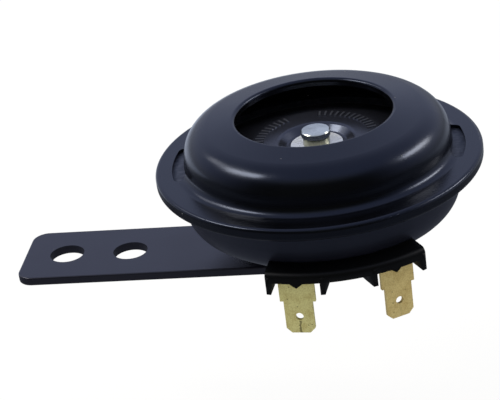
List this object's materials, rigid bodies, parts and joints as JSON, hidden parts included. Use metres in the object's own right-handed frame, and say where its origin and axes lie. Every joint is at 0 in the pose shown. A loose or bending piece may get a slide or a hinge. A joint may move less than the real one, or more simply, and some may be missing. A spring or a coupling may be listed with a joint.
{
  "type": "electric horn",
  "caption": "Round black electric disc horn with a raised sound ring, open centre, push-on terminals and a flat strap bracket.",
  "frame": {"origin": "centre of the housing's back face on the horn's axis, where the bracket seats round the stud", "axes": "+Z along the horn's axis out of the front, -X along the strap bracket towards its free end"},
  "size_m": [0.1075, 0.073, 0.0409],
  "materials": {
    "black_paint": "satin black stove enamel on pressed steel",
    "diaphragm_paint": "semi-gloss black paint on thin spring steel",
    "bracket_paint": "satin black paint on strip steel",
    "gasket_paper": "oiled fibre paper",
    "zinc_plate": "bright zinc-plated steel",
    "yellow_brass": "plain brass",
    "terminal_brass": "stamped brass strip, lightly tarnished",
    "soft_iron": "plain soft iron",
    "insulation": "brown phenolic and nylon insulation",
    "enamelled_wire": "enamelled copper wire, wound close",
    "spring_bronze": "phosphor bronze strip",
    "contact_metal": "tungsten contact faces",
    "black_moulding": "moulded black phenolic",
    "lead_sleeve": "insulated lead"
  },
  "bodies": {
    "housing": {"housing_bowl": "black_paint", "front_cover": "black_paint", "diaphragm": "diaphragm_paint", "rear_gasket": "gasket_paper", "front_gasket": "gasket_paper", "core_stud": "zinc_plate", "coil_bobbin": "insulation", "coil_winding": "enamelled_wire", "yoke_frame": "soft_iron", "pole_plate": "soft_iron", "breaker_insulator": "insulation", "breaker_tag": "yellow_brass", "contact_spacer": "insulation", "breaker_leaf": "spring_bronze", "fixed_contact": "contact_metal", "contact_plate": "yellow_brass", "breaker_rivets": "zinc_plate", "contact_rivets": "zinc_plate", "adjuster_press_nut": "zinc_plate", "terminal_block": "black_moulding", "terminal_left": "terminal_brass", "terminal_right": "terminal_brass", "strap_bracket": "bracket_paint", "spring_washer": "zinc_plate", "stud_nut": "zinc_plate", "coil_lead": "lead_sleeve", "contact_lead": "lead_sleeve", "breaker_lead": "lead_sleeve"},
    "armature": {"armature": "soft_iron", "centre_rivet": "zinc_plate", "front_washer": "zinc_plate", "rear_washer": "zinc_plate", "rivet_collar": "yellow_brass", "push_disc": "insulation"},
    "breaker_contact": {"moving_contact": "contact_metal"},
    "adjuster": {"adjusting_screw": "zinc_plate"}
  },
  "joints": [
    {"name": "armature_stroke", "type": "slide", "parent": "housing", "child": "armature", "axis": [0, 0, 1], "range_m": [-0.0005, 0], "stiffness_N_per_m": 5000, "deforming": ["diaphragm"]},
    {"name": "contact_opening", "type": "hinge", "parent": "housing", "child": "breaker_contact", "pos_m": [-0.013, 0, 0.01595], "axis": [0, 1, 0], "range_deg": [0, 2.3], "deforming": ["breaker_leaf"]},
    {"name": "adjusting_screw_turn", "type": "hinge", "parent": "housing", "child": "adjuster", "pos_m": [0.01156, -0.00421, 0], "axis": [0, 0, -1], "range_deg": [-180, 180]}
  ],
  "couplings": [
    {"joint": "contact_opening", "follows": "armature_stroke", "rad_per_m": -77}
  ]
}
